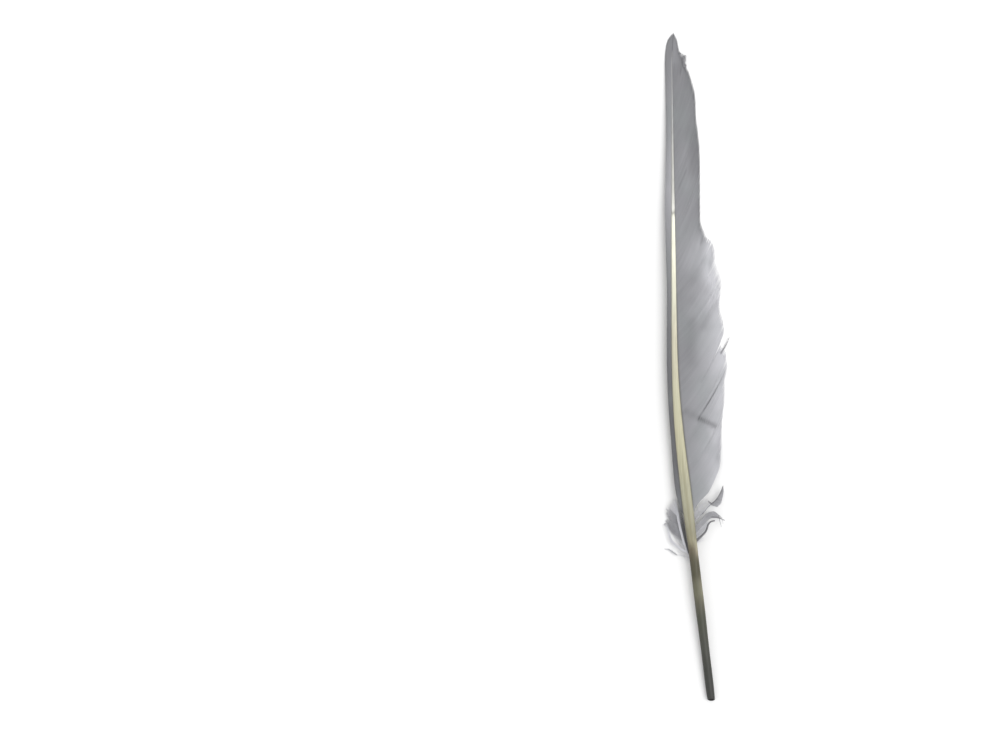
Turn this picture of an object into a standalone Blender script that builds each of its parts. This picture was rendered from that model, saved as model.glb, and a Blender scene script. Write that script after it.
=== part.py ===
"""A goose quill feather, lying hollow side down.

The quill's end points along -Y and the tip along +Y. The wide trailing vane is on the +X side and the
narrow leading vane on the -X side. A place on the feather is given by how far along it lies from the
quill's end, how far across from the shaft's middle line, and its height over the table.
"""

import math

import bmesh
import bpy

MM = 0.001
MERGE = 0.001 * MM

# The whole feather
LENGTH = 300 * MM
QUILL_X = 6.7 * MM
GAP = 0.3 * MM
WEB_THICKNESS = 0.35 * MM
DOWN_THICKNESS = 1.0 * MM

# The shaft's middle line: it leans less from the bend to the tip, and hooks over at the very tip
QUILL_LEAN = 0.122
TIP_LEAN = 0.009
BEND_START = 99 * MM
BEND_END = 171 * MM
HOOK_START = 285 * MM
HOOK = 1.3 * MM
ARCH = 5.5 * MM
QUILL_HEIGHT = 1.62 * MM
TIP_HEIGHT = 0.5 * MM

# The shaft itself: its width in mm at places in mm along it
SHAFT_END = 292 * MM
SHAFT_WIDTHS = [
    (0, 3.5), (8, 3.8), (20, 3.8), (45, 4.3), (65, 4.2), (88, 4.85), (118, 4.1), (150, 2.85),
    (173, 2.4), (200, 1.9), (223, 1.45), (243, 1.05), (259, 0.85), (275, 0.5), (292, 0.25),
]
SHAFT_SIDES = 14
SHAFT_RINGS = 44
NOSE = 1.6 * MM
NOSE_START = 0.55
NOSE_RINGS = 4
TIP_DEPTH = 1.35

# A barb leaves the shaft steeply and turns towards the tip: the share of its rise that is even
EVEN_RISE = 0.62

# Vanes. Hold is how far over the shaft's middle the roots sit, as a share of its depth. Rises are
# how much further along a barb's end lies than its root. An outline is the distance from the
# middle line, and an edge height is over the table. All are in mm along and mm. A split is the
# place of its root, the share of the barbs beside it that still holds together, and its width.
TRAILING = {
    "side": 1,
    "hold": 0.1,
    "roots": (85, 288),
    "rises": [(85, 21), (119, 30), (183, 26), (230, 28), (265, 22), (288, 12)],
    "outline": [
        (106, 16), (117, 18.4), (124, 18.9), (137, 21.9), (145, 22.4), (150, 23.6), (156, 23.1),
        (160.5, 20.9), (167, 22.5), (178, 20.5), (189, 21.5), (197, 18.9), (202.5, 18.5),
        (206.5, 17), (209, 14.6), (217, 12.2), (245, 12.3), (263, 10.8), (271, 10.6), (282, 8.1),
        (291, 3.8), (297, 1.9), (300, 0.3),
    ],
    "edge_heights": [(106, 2.4), (124, 0.175), (300, 0.175)],
    "splits": [(119, 0.33, 1.2), (129.5, 0.54, 0.7), (172, 0.84, 0.9)],
    "columns": 10,
}
LEADING = {
    "side": -1,
    "hold": 0.1,
    "roots": (84, 288),
    "rises": [(84, 14), (120, 20), (230, 18), (275, 13.5), (288, 11.7)],
    "outline": [
        (98, 4.7), (118, 4.0), (150, 3.6), (185, 3.1), (218, 3.6), (243, 3.0), (262, 2.7),
        (290, 3.0), (295, 2.8), (297.5, 2.0), (299.7, 0.5),
    ],
    "edge_heights": [
        (98, 4.0), (130, 4.5), (150, 4.7), (200, 4.1), (250, 2.3), (285, 0.5), (299.7, 0.2),
    ],
    "splits": [],
    "columns": 5,
}
ROW_SPACING = 2.6
FEWEST_ROWS = 4
LANDING = 0.9
SPLIT_FADE = 6
SLIVER = 1e-6
GRID_HALF = 0.5

# Down at the vanes' feet
TRAILING_DOWN = {
    "side": 1,
    "hold": -0.35,
    "roots": (70.5, 82),
    "rises": [(70.5, 9), (82, 10)],
    "outline": [(79.5, 7.5), (86, 10.5), (92, 10)],
    "edge_heights": [(79.5, 1.4), (92, 1.6)],
    "splits": [],
    "columns": 5,
}
LEADING_DOWN = {
    "side": -1,
    "hold": -0.1,
    "roots": (62, 80),
    "rises": [(62, 9), (80, 12)],
    "outline": [(71, 7), (80, 10.6), (87, 10.6), (92, 9.4)],
    "edge_heights": [(71, 0.32), (92, 0.32)],
    "splits": [],
    "columns": 5,
}

# Loose barbs: (along, across, height, width) in mm down the middle of each
UPPER_LOOSE_BARB = [
    (81.2, 3.0, 6.0, 0.5), (83.5, 5.4, 5.7, 0.5), (88.2, 10, 4.9, 0.6), (89.2, 13.2, 4.3, 2.9),
    (92.4, 15.8, 3.7, 2.3), (96.8, 17.0, 3.2, 0.4),
]
LOWER_LOOSE_BARB = [
    (76.8, 4.5, 5.7, 3.8), (80.2, 6.9, 5.2, 4.0), (83.4, 9.6, 4.5, 3.2), (84.0, 12.4, 3.9, 1.8),
    (82.4, 15.4, 3.2, 0.4),
]
CURLED_TIP_BARBS = [
    (285.0, 7.5, 0.5, 0.5), (288.4, 6.9, 0.8, 0.6), (290.9, 5.9, 1.1, 0.6), (291.2, 4.7, 1.0, 0.4),
]
STRAY_EDGE_BARB = [
    (158.8, 23.5, 0.9, 0.5), (161.2, 24.3, 1.2, 0.4), (163.8, 24.8, 1.5, 0.3),
]
BARB_STEPS = 12
SLOPE_STEP = 0.01


def through(points, place):
    """The value at a place on a smooth curve through points, each a place and a value, in order."""
    if place <= points[0][0]:
        return points[0][1]
    if place >= points[-1][0]:
        return points[-1][1]
    i = max(k for k in range(len(points) - 1) if points[k][0] <= place)
    x0, x1 = points[i][0], points[i + 1][0]
    t = (place - x0) / (x1 - x0)
    start, end = slope_at(points, i) * (x1 - x0), slope_at(points, i + 1) * (x1 - x0)
    y0, y1 = points[i][1], points[i + 1][1]
    bend_in = (t**3 - 2 * t**2 + t) * start + (t**3 - t**2) * end
    return (2 * t**3 - 3 * t**2 + 1) * y0 + (3 * t**2 - 2 * t**3) * y1 + bend_in


def slope_at(points, i):
    """A slope at point i that never makes the curve overshoot: flat at a peak or a dip."""
    if i == 0 or i == len(points) - 1:
        return 0.0
    (xa, ya), (xb, yb), (xc, yc) = points[i - 1 : i + 2]
    before, after = (yb - ya) / (xb - xa), (yc - yb) / (xc - xb)
    if before * after <= 0:
        return 0.0
    return 2 * before * after / (before + after)


def middle(along):
    """X and height of the shaft's middle line."""
    t = min(max((along - BEND_START) / (BEND_END - BEND_START), 0), 1)
    past = (BEND_END - BEND_START) * (t**3 - t**4 / 2) + max(along - BEND_END, 0)
    x = QUILL_X - QUILL_LEAN * along - (TIP_LEAN - QUILL_LEAN) * past
    x += HOOK * (max(along - HOOK_START, 0) / (LENGTH - HOOK_START)) ** 2
    share = along / LENGTH
    height = QUILL_HEIGHT + (TIP_HEIGHT - QUILL_HEIGHT) * share + 4 * ARCH * share * (1 - share)
    return x, height


def shaft_width(along):
    return through(SHAFT_WIDTHS, along / MM) * MM


def shaft_depth(along):
    """The barrel is round, and the shaft gets deeper than wide towards the tip."""
    return shaft_width(along) * (1 + (TIP_DEPTH - 1) * max(along - BEND_START, 0) / LENGTH)


def at(along, x, height):
    """A point in the feather's frame, which has its origin halfway along."""
    return (x, along - LENGTH / 2, height)


def material(name, colour, roughness):
    made = bpy.data.materials.new(name)
    made.use_nodes = True
    shader = made.node_tree.nodes["Principled BSDF"]
    shader.inputs["Base Color"].default_value = (*colour, 1)
    shader.inputs["Roughness"].default_value = roughness
    shader.inputs["Metallic"].default_value = 0.0
    return made


def finished(bm, name, finish):
    """Turn a bmesh into a named object with its faces pointing out."""
    bmesh.ops.recalc_face_normals(bm, faces=bm.faces)
    mesh = bpy.data.meshes.new(name)
    bm.to_mesh(mesh)
    bm.free()
    mesh.shade_smooth()
    mesh.materials.append(finish)
    made = bpy.data.objects.new(name, mesh)
    bpy.context.scene.collection.objects.link(made)
    return made


def loft(name, rings, finish):
    """A closed solid through rings of points that all have the same count."""
    bm = bmesh.new()
    loops = [[bm.verts.new(point) for point in ring] for ring in rings]
    count = len(rings[0])
    for near, far in zip(loops, loops[1:]):
        for i in range(count):
            j = (i + 1) % count
            bm.faces.new((near[i], near[j], far[j], far[i]))
    bm.faces.new(loops[0])
    bm.faces.new(loops[-1])
    return finished(bm, name, finish)


def shaft_ring(along, share):
    x, height = middle(along)
    wide, deep = share * shaft_width(along) / 2, share * shaft_depth(along) / 2
    turns = [2 * math.pi * i / SHAFT_SIDES for i in range(SHAFT_SIDES)]
    return [at(along, x + wide * math.cos(a), height + deep * math.sin(a)) for a in turns]


def make_shaft(finish):
    """The hollow barrel and the solid upper shaft, which grew as one rod with a rounded lower end."""
    rings = []
    for step in range(NOSE_RINGS):
        up = step / NOSE_RINGS
        share = NOSE_START + (1 - NOSE_START) * math.sin(up * math.pi / 2)
        rings.append(shaft_ring(NOSE * up, share))
    for i in range(SHAFT_RINGS + 1):
        rings.append(shaft_ring(NOSE + (SHAFT_END - NOSE) * i / SHAFT_RINGS, 1))
    return loft("shaft", rings, finish)


def opening(vane, root, out):
    """How far a barb is pushed along the feather by the splits beside it, in mm."""
    pushed = 0
    for place, closed, wide in vane["splits"]:
        apart = abs(root - place)
        share = max(out - closed, 0) / (1 - closed)
        fade = max(1 - apart / SPLIT_FADE, 0)
        pushed += (1 if root > place else -1) * wide / 2 * share * fade
    return pushed


def barb_point(vane, root, out, nudge=0):
    """The point a share `out` of the way from a barb's root on the shaft to its end.

    Nudge is a sliver in mm that says which side of a split a barb beside it is on.
    """
    rise = through(vane["rises"], root)
    tip = root + rise
    along = (root + rise * (EVEN_RISE * out + (1 - EVEN_RISE) * out**2)) * MM
    start = shaft_width(root * MM) / 2 + GAP
    reach = through(vane["outline"], tip) * MM
    top = middle(root * MM)[1] + shaft_depth(root * MM) * vane["hold"]
    low = through(vane["edge_heights"], tip) * MM
    if vane["side"] > 0:
        spread = out
        drop = (1 - math.cos(math.pi * min(out / LANDING, 1))) / 2
    else:
        spread = math.sin(out * math.pi / 2)
        drop = 1 - math.cos(out * math.pi / 2)
    across = start + (reach - start) * spread
    along += opening(vane, root + nudge, out) * MM
    return at(along, middle(along)[0] + vane["side"] * across, top + (low - top) * drop)


def make_web(name, vane, thickness, finish):
    """A sheet of barbs. Each stretch between splits is a grid, joined to the next where it is whole."""
    bm = bmesh.new()
    ends = [vane["roots"][0], *(split[0] for split in vane["splits"]), vane["roots"][1]]
    for low, high in zip(ends, ends[1:]):
        rows = max(round((high - low) / ROW_SPACING), FEWEST_ROWS)
        columns = vane["columns"]
        grid = bmesh.ops.create_grid(bm, x_segments=columns, y_segments=rows, size=GRID_HALF)
        for vertex in grid["verts"]:
            up, out = vertex.co.y + GRID_HALF, vertex.co.x + GRID_HALF
            nudge = SLIVER if vertex.co.y < 0 else -SLIVER
            vertex.co = barb_point(vane, low + (high - low) * up, out, nudge)
    bmesh.ops.remove_doubles(bm, verts=bm.verts, dist=MERGE)
    made = finished(bm, name, finish)
    wall = made.modifiers.new("thickness", "SOLIDIFY")
    wall.thickness = thickness
    wall.offset = 0
    return made


def ribbon_point(points, place):
    """Along, across, height and width on a smooth line, where point 1 is at place 1 and so on."""
    columns = ([(i, point[k]) for i, point in enumerate(points)] for k in range(len(points[0])))
    return [through(column, place) * MM for column in columns]


def make_barb(name, side, points, thickness, finish):
    """A ribbon along a smooth line through points."""
    last = len(points) - 1
    rings = []
    for step in range(BARB_STEPS + 1):
        place = last * step / BARB_STEPS
        along, across, height, width = ribbon_point(points, place)
        ahead = ribbon_point(points, place + SLOPE_STEP)
        back = ribbon_point(points, place - SLOPE_STEP)
        turn = math.atan2(ahead[0] - back[0], side * (ahead[1] - back[1]))
        x = middle(along)[0] + side * across
        ring = []
        for wide, up in ((-1, -1), (1, -1), (1, 1), (-1, 1)):
            dx, dy = -math.sin(turn) * wide * width / 2, math.cos(turn) * wide * width / 2
            ring.append(at(along + dy, x + dx, height + up * thickness / 2))
        rings.append(ring)
    return loft(name, rings, finish)


def build():
    for old in list(bpy.data.objects):
        bpy.data.objects.remove(old)
    horn = material("horn", (0.62, 0.6, 0.45), 0.35)
    web = material("web", (0.31, 0.31, 0.33), 0.8)
    down = material("down", (0.45, 0.45, 0.46), 0.9)
    make_shaft(horn)
    make_web("trailing_vane", TRAILING, WEB_THICKNESS, web)
    make_web("leading_vane", LEADING, WEB_THICKNESS, web)
    make_web("trailing_down", TRAILING_DOWN, DOWN_THICKNESS, down)
    make_web("leading_down", LEADING_DOWN, DOWN_THICKNESS, down)
    make_barb("upper_loose_barb", 1, UPPER_LOOSE_BARB, WEB_THICKNESS, web)
    make_barb("lower_loose_barb", 1, LOWER_LOOSE_BARB, WEB_THICKNESS, web)
    make_barb("curled_tip_barbs", 1, CURLED_TIP_BARBS, WEB_THICKNESS, web)
    make_barb("stray_edge_barb", 1, STRAY_EDGE_BARB, WEB_THICKNESS, web)


build()
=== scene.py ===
# %% [markdown]
# # A grey goose quill
# A wing feather is one horny shaft with a web of barbs on each side, some down at the foot of the webs,
# and here a few barbs that have come loose. This lesson grows each of them from a formula. The measured
# model is loaded first, so that every piece has a place and a size to keep to. All working sizes are in
# millimetres: along is counted from the quill's end, across from the shaft's middle line, and height from
# the table.

# %% Load the measured feather
from collections import namedtuple

import bpy
import numpy as np
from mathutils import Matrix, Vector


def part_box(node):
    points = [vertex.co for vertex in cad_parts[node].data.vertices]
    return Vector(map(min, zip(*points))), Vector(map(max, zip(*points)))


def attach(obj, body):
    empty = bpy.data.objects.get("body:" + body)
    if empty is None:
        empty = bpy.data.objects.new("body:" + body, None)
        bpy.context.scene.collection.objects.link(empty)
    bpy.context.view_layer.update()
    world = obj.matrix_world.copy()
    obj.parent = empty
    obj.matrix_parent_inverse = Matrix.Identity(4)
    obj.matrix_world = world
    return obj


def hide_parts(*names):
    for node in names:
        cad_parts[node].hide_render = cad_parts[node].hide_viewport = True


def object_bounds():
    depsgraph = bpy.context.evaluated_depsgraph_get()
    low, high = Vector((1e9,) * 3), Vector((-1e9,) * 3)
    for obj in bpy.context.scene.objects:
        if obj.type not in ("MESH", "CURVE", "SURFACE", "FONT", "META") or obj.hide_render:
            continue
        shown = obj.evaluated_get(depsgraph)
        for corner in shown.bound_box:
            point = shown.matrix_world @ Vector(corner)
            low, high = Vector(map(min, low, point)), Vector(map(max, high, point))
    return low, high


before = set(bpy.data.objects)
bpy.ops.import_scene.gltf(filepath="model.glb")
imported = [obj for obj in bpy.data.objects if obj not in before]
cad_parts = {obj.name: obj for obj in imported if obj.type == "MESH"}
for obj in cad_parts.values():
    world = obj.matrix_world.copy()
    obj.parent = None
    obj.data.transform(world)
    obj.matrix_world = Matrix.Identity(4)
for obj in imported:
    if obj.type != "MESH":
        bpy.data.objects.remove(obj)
measured_box = [list(corner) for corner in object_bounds()]
MM = 0.001
LENGTH = (measured_box[1][1] - measured_box[0][1]) / MM
QUILL_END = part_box("shaft")[0].y / MM
print("pieces to make:", ", ".join(sorted(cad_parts)))
print("length in mm:", round(LENGTH, 1))

# %% [markdown]
# ## Smooth curves through a few sizes
# A feather's width, its vanes' outlines and its barbs' slopes all change smoothly along it. Each can be
# given as a few places with a value, and a smooth curve through them fills in the rest. A spline may
# swing past its points, which would put bulges in a vane, so this curve is a cubic whose slope is flat at
# every peak and dip. It works on whole arrays at once.


# %% A curve that never overshoots
def slopes_at(x, y):
    """Slopes at the points: twice the neighbours' product over their sum, or none at a peak."""
    steps = np.diff(y) / np.diff(x)
    before, after = steps[:-1], steps[1:]
    rising = before * after > 0
    inner = 2 * before * after / np.where(rising, before + after, 1)
    return np.concatenate([[0], np.where(rising, inner, 0), [0]])


def through(points, places):
    """Values on the curve through points, each a place and a value: a cubic between two points."""
    x, y = np.array(points, float).T
    slope = slopes_at(x, y)
    places = np.clip(places, x[0], x[-1])
    i = np.clip(np.searchsorted(x, places, side="right") - 1, 0, len(x) - 2)
    span = x[i + 1] - x[i]
    t = (places - x[i]) / span
    bends = (t**3 - 2 * t**2 + t) * slope[i] * span + (t**3 - t**2) * slope[i + 1] * span
    return (2 * t**3 - 3 * t**2 + 1) * y[i] + (3 * t**2 - 2 * t**3) * y[i + 1] + bends


# %% [markdown]
# ## The shaft's middle line
# The shaft is what everything else grows on, so its line comes first. It leans to one side at the quill,
# straightens where the vanes are widest and hooks over at the very tip, and it arches over the table. The
# barrel is round, and the upper shaft gets deeper than it is wide.

# %% The line, width and depth of the shaft
QUILL_X, QUILL_LEAN, TIP_LEAN = 6.7, 0.122, 0.009
BEND_START, BEND_END = 99, 171
HOOK_START, HOOK = 285, 1.3
ARCH, QUILL_HEIGHT, TIP_HEIGHT = 5.5, 1.62, 0.5
SHAFT_END = 292
SHAFT_WIDTHS = [
    (0, 3.5), (8, 3.8), (20, 3.8), (45, 4.3), (65, 4.2), (88, 4.85), (118, 4.1), (150, 2.85),
    (173, 2.4), (200, 1.9), (223, 1.45), (243, 1.05), (259, 0.85), (275, 0.5), (292, 0.25),
]
TIP_DEPTH = 1.35


def middle(along):
    """The middle line's x and height: a lean that a smooth step turns into a smaller one, a hook with the
    square of the distance, and a parabola for the arch."""
    bend = BEND_END - BEND_START
    t = np.clip((along - BEND_START) / bend, 0, 1)
    past = bend * (t**3 - t**4 / 2) + np.maximum(along - BEND_END, 0)
    x = QUILL_X - QUILL_LEAN * along - (TIP_LEAN - QUILL_LEAN) * past
    x = x + HOOK * (np.maximum(along - HOOK_START, 0) / (LENGTH - HOOK_START)) ** 2
    share = along / LENGTH
    height = QUILL_HEIGHT + (TIP_HEIGHT - QUILL_HEIGHT) * share + 4 * ARCH * share * (1 - share)
    return x, height


def shaft_width(along):
    return through(SHAFT_WIDTHS, along)


def shaft_depth(along):
    """The width, and a third more of it by the tip."""
    return shaft_width(along) * (1 + (TIP_DEPTH - 1) * np.maximum(along - BEND_START, 0) / LENGTH)


def in_frame(along, x, height):
    """Points in the model's frame, whose origin is halfway along."""
    along, x, height = np.broadcast_arrays(along, x, height)
    return np.stack([x, along + QUILL_END, height], axis=-1)


print("the arch is highest at", round(float(middle(np.arange(LENGTH))[1].max()), 1), "mm")

# %% [markdown]
# ## From arrays to pieces
# Every piece of the feather is either a rod or a lot of strands. Both are grids of points, so one record
# holds them: the points, the faces, where each point lies on the feather's own pattern, how much darker
# than its surroundings it is, and where each face lies on a flat sheet for painting. The sheet is laid out
# so that no two faces share a place on it.

# %% Make a mesh object from arrays
Shape = namedtuple("Shape", "points faces places shades sheet")


def corner_map(mesh, name, values):
    """A map on the mesh's face corners."""
    layer = mesh.uv_layers.new(name=name)
    layer.uv.foreach_set("vector", values.astype(np.float32).ravel())


def new_piece(name, shape, finish):
    """An object at the origin, smooth, in its finish."""
    mesh = bpy.data.meshes.new(name)
    mesh.from_pydata((shape.points * MM).tolist(), [], shape.faces.tolist())
    mesh.shade_smooth()
    corner_map(mesh, "Growth", shape.places[shape.faces])
    corner_map(mesh, "OFBake", shape.sheet)
    shades = mesh.attributes.new("Shade", "FLOAT", "POINT")
    shades.data.foreach_set("value", shape.shades.astype(np.float32))
    mesh.materials.append(finish)
    made = bpy.data.objects.new(name, mesh)
    bpy.context.scene.collection.objects.link(made)
    print(name, "has", 2 * len(shape.faces), "triangles")
    return made


def joined(shapes):
    """One shape from several, with their painting sheets stacked in shares by their number of faces."""
    starts = np.cumsum([0] + [len(s.points) for s in shapes[:-1]])
    sizes = np.array([len(s.faces) for s in shapes]) / sum(len(s.faces) for s in shapes)
    floors = np.cumsum(sizes) - sizes
    moved = [
        s._replace(faces=s.faces + start, sheet=s.sheet * (1, size) + (0, low))
        for s, start, size, low in zip(shapes, starts, sizes, floors)
    ]
    return Shape(*(np.concatenate(parts) for parts in zip(*moved)))


# %% [markdown]
# ## Strands
# A barb is a flat, pointed strand, and so is each tiny barbule on it. A hair curve would be quick, but it
# has no real surface, so each strand is a closed mesh with a lozenge for a section: two sharp sides and a
# low ridge above and below. Four points a ring keep a strand light, because thousands are needed.

# %% Closed strands along many lines at once
SHARP_SIDES = (0, 2)
# Shares of a strand's cell on the sheet: half its width, the gap round it, each side's length, its ends
HALF_CELL, CELL_GAP, CELL_SIDE = 0.42, 0.02, 0.46
END_PLACES, END_SIZE = [[0.01], [0.49]], 0.008
UP = np.array([0, 0, 1.0])


def unit(vectors):
    """The same directions at length one."""
    return vectors / np.linalg.norm(vectors, axis=-1, keepdims=True)


def strand_sheet(count, outs, rows):
    """Each strand gets a cell of its own on the sheet: its upper side below, its lower side above."""
    side = (np.arange(4)[:, None] + [0, 1, 1, 0]) % 4
    offset = HALF_CELL * np.array([1, 0, -1, 0])
    columns = -(-count // rows)
    cell_x, cell_y = np.arange(count) // rows, np.arange(count) % rows
    u = (cell_x[:, None, None, None] + 0.5 + offset[side]) / columns
    near, far = outs[:-1], outs[1:]
    step = np.stack([near, near, far, far], axis=-1)[:, None, :]
    upper = np.array([True, True, False, False])[:, None]
    v = np.where(upper, CELL_GAP + CELL_SIDE * step, 1 - CELL_GAP - CELL_SIDE * step)
    v = (cell_y[:, None, None, None] + v) / rows
    walls = np.stack(np.broadcast_arrays(u, v), axis=-1).reshape(-1, 4, 2)
    end_v = np.array(END_PLACES) + END_SIZE * np.array([0, 1, 0, -1])
    end_u = np.stack([offset[::-1], offset])
    ends_u = (cell_x[:, None, None] + 0.5 + end_u) / columns
    ends_v = (cell_y[:, None, None] + end_v) / rows
    ends = np.stack(np.broadcast_arrays(ends_u, ends_v), axis=-1).reshape(-1, 4, 2)
    return np.concatenate([walls, ends])


def strands(lines, widths, depths, up, numbers, outs, shades=0.0, rows=1):
    """Each ring stands half a width to each side of its line and half a depth above and below."""
    count, steps = widths.shape
    ahead = unit(np.gradient(lines, axis=1))
    side = unit(np.cross(up, ahead))
    wide = side * widths[..., None] / 2
    deep = np.cross(ahead, side) * depths[..., None] / 2
    rings = lines[:, :, None] + np.stack([wide, deep, -wide, -deep], axis=2)
    index = np.arange(count * steps * 4).reshape(count, steps, 4)
    near, far = index[:, :-1], index[:, 1:]
    walls = np.stack([near, np.roll(near, -1, 2), np.roll(far, -1, 2), far], axis=-1)
    walls = walls.reshape(count, steps - 1, 4, 4)
    ends = np.stack([index[:, 0, ::-1], index[:, -1]], axis=1)
    faces = np.concatenate([walls.reshape(-1, 4), ends.reshape(-1, 4)])
    places = np.stack(np.broadcast_arrays(numbers[:, None, None], outs[None, :, None]), axis=-1)
    places = np.broadcast_to(places.reshape(count, steps, 1, 2), (count, steps, 4, 2))
    shades = np.repeat(np.broadcast_to(shades, (count, steps)).ravel(), 4)
    sheet = strand_sheet(count, outs, rows)
    return Shape(rings.reshape(-1, 3), faces, places.reshape(-1, 2), shades, sheet)


def sharpen_sides(piece):
    """Marks the lines down both sides of every strand as sharp."""
    ends = np.empty(2 * len(piece.data.edges), np.int32)
    piece.data.edges.foreach_get("vertices", ends)
    side = ends.reshape(-1, 2) % 4
    sharp = (side[:, 0] == side[:, 1]) & np.isin(side[:, 0], SHARP_SIDES)
    mark = piece.data.attributes.new("sharp_edge", "BOOLEAN", "EDGE")
    mark.data.foreach_set("value", sharp)


# %% [markdown]
# ## Shader sums
# The finishes need some arithmetic: a streak here, a paler margin there. Wiring Math nodes by hand hides
# the sum in a web of links. Here a small class wraps a node's output, so that a sum can be written as one,
# and the nodes are added as Python works it out.


# %% Numbers that vary over a surface
class Varying:
    """A number that varies over a surface. Sums with it add Math nodes."""

    def __init__(self, finish, socket):
        self.finish, self.socket = finish, socket

    def sum(self, operation, first, second, clamp=False):
        node = self.finish.node("Math", {"operation": operation, "use_clamp": clamp}, {0: first, 1: second})
        return Varying(self.finish, node.outputs[0])

    def __add__(self, other):
        return self.sum("ADD", self, other)

    def __sub__(self, other):
        return self.sum("SUBTRACT", self, other)

    def __rsub__(self, other):
        return self.sum("SUBTRACT", other, self)

    def __mul__(self, other):
        return self.sum("MULTIPLY", self, other)

    def __truediv__(self, other):
        return self.sum("DIVIDE", self, other)

    __radd__, __rmul__ = __add__, __mul__

    def held(self):
        """The number kept from 0 to 1."""
        return self.sum("ADD", self, 0, clamp=True)

    def rise(self, low, high):
        """A smooth step: 0 at low and 1 at high."""
        settings = {"interpolation_type": "SMOOTHSTEP"}
        node = self.finish.node("MapRange", settings, {"Value": self, "From Min": low, "From Max": high})
        return Varying(self.finish, node.outputs[0])

    def bump_at(self, centre, width):
        """A soft hump: 1 at the centre and 0 a width away."""
        return self.rise(centre - width, centre) * (1 - self.rise(centre, centre + width))


# %% [markdown]
# ## Materials
# A dye is easiest to choose as it will look on the screen, but a shader wants the share of light that it
# sends back, so one function turns the first into the second. Each finish is then a small object that owns
# one material and adds the nodes that its sums need.

# %% A material and its nodes
HORN_LIGHT, WEB_LIGHT = 1.095, 1.01
BRIGHTEST = 0.96


def screen(red, green, blue, light=HORN_LIGHT):
    """The dye that shows as a screen colour, each part 0 to 255, where the surface sends back this light.
    It undoes the screen's own curve: nearly a power of 2.4, with a straight foot."""
    share = np.array([red, green, blue]) / 255
    linear = np.where(share > 0.04045, ((share + 0.055) / 1.055) ** 2.4, share / 12.92)
    return (*np.minimum(linear / light, BRIGHTEST).tolist(), 1)


class Finish:
    """A material with one Principled shader, and the nodes that feed it."""

    def __init__(self, name):
        self.material = bpy.data.materials.new(name)
        self.material.use_nodes = True
        self.tree = self.material.node_tree
        self.shader = self.tree.nodes["Principled BSDF"]

    def node(self, kind, settings, sockets):
        """A node: first its settings or a ramp's stops, then its sockets' values or links."""
        made = self.tree.nodes.new("ShaderNode" + kind)
        for key, value in settings.items():
            if key == "stops":
                self.set_stops(made.color_ramp, value)
            else:
                setattr(made, key, value)
        for key, value in sockets.items():
            self.feed(made.inputs[key], value)
        return made

    def set_stops(self, ramp, stops):
        while len(ramp.elements) < len(stops):
            ramp.elements.new(1)
        for element, (place, colour) in zip(ramp.elements, stops):
            element.position, element.color = place, colour

    def feed(self, socket, value):
        if isinstance(value, Varying):
            value = value.socket
        if isinstance(value, bpy.types.NodeSocket):
            self.tree.links.new(value, socket)
        else:
            socket.default_value = value

    def parts(self, vector):
        """A vector's three numbers."""
        node = self.node("SeparateXYZ", {}, {0: vector})
        return [Varying(self, output) for output in node.outputs]

    def growth(self):
        """A point's place on the feather's pattern: its strand's number, and the share out along it."""
        return self.parts(self.node("UVMap", {"uv_map": "Growth"}, {}).outputs[0])[:2]

    def shade(self):
        """How much darker than its surroundings a point is."""
        return Varying(self, self.node("Attribute", {"attribute_name": "Shade"}, {}).outputs["Fac"])

    def position(self):
        """A point's own x, y and z in metres."""
        return self.parts(self.node("TexCoord", {}, {}).outputs["Object"])

    def noise(self, x, y, z=0.0, detail=2.0):
        """Soft random patches, from 0 to 1, about one for each unit of x, y and z."""
        vector = self.node("CombineXYZ", {}, {0: x, 1: y, 2: z}).outputs[0]
        node = self.node("TexNoise", {}, {"Vector": vector, "Scale": 1.0, "Detail": detail})
        return Varying(self, node.outputs[0])

    def ramp(self, value, stops):
        return self.node("ValToRGB", {"stops": stops}, {0: value}).outputs[0]

    def tones(self, along, stops):
        """A number that changes evenly between stops, each a place in mm along and a value from 0 to 1."""
        greys = [(place / LENGTH, (tone, tone, tone, 1)) for place, tone in stops]
        return Varying(self, self.ramp(along, greys))

    def mixed(self, share, first, second, way="MIX"):
        """A colour between two others, or the first treated by the second."""
        node = self.node("Mix", {"data_type": "RGBA", "blend_type": way}, {0: share, 6: first, 7: second})
        return node.outputs[2]

    def bump(self, height, distance, strength):
        sockets = {"Height": height, "Distance": distance, "Strength": strength}
        return self.node("Bump", {}, sockets).outputs[0]

    def wear(self, **values):
        """Sets or links the Principled shader's sockets by name."""
        for key, value in values.items():
            self.feed(self.shader.inputs[key.replace("_", " ")], value)
        return self.material

    def let_light_through(self, share, colour):
        """Mixes in a constant share of light that passes through the piece."""
        thin = self.node("BsdfTranslucent", {}, {"Color": colour})
        both = self.node("MixShader", {}, {0: share, 1: self.shader.outputs[0], 2: thin.outputs[0]})
        self.tree.links.new(both.outputs[0], self.tree.nodes["Material Output"].inputs[0])


# %% [markdown]
# ## The vanes
# A vane is hundreds of barbs that leave the shaft at a slant and lie side by side, zipped together by
# barbules too small to see. One bent sheet would give the outline, but not the fringed margin, the barb
# lines or the splits that a used feather has. So each barb is a strand of its own, as wide as the space to
# its neighbour and a little more, and the vane stays whole as long as they overlap. A split is where the
# barbs are pushed apart.

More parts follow.
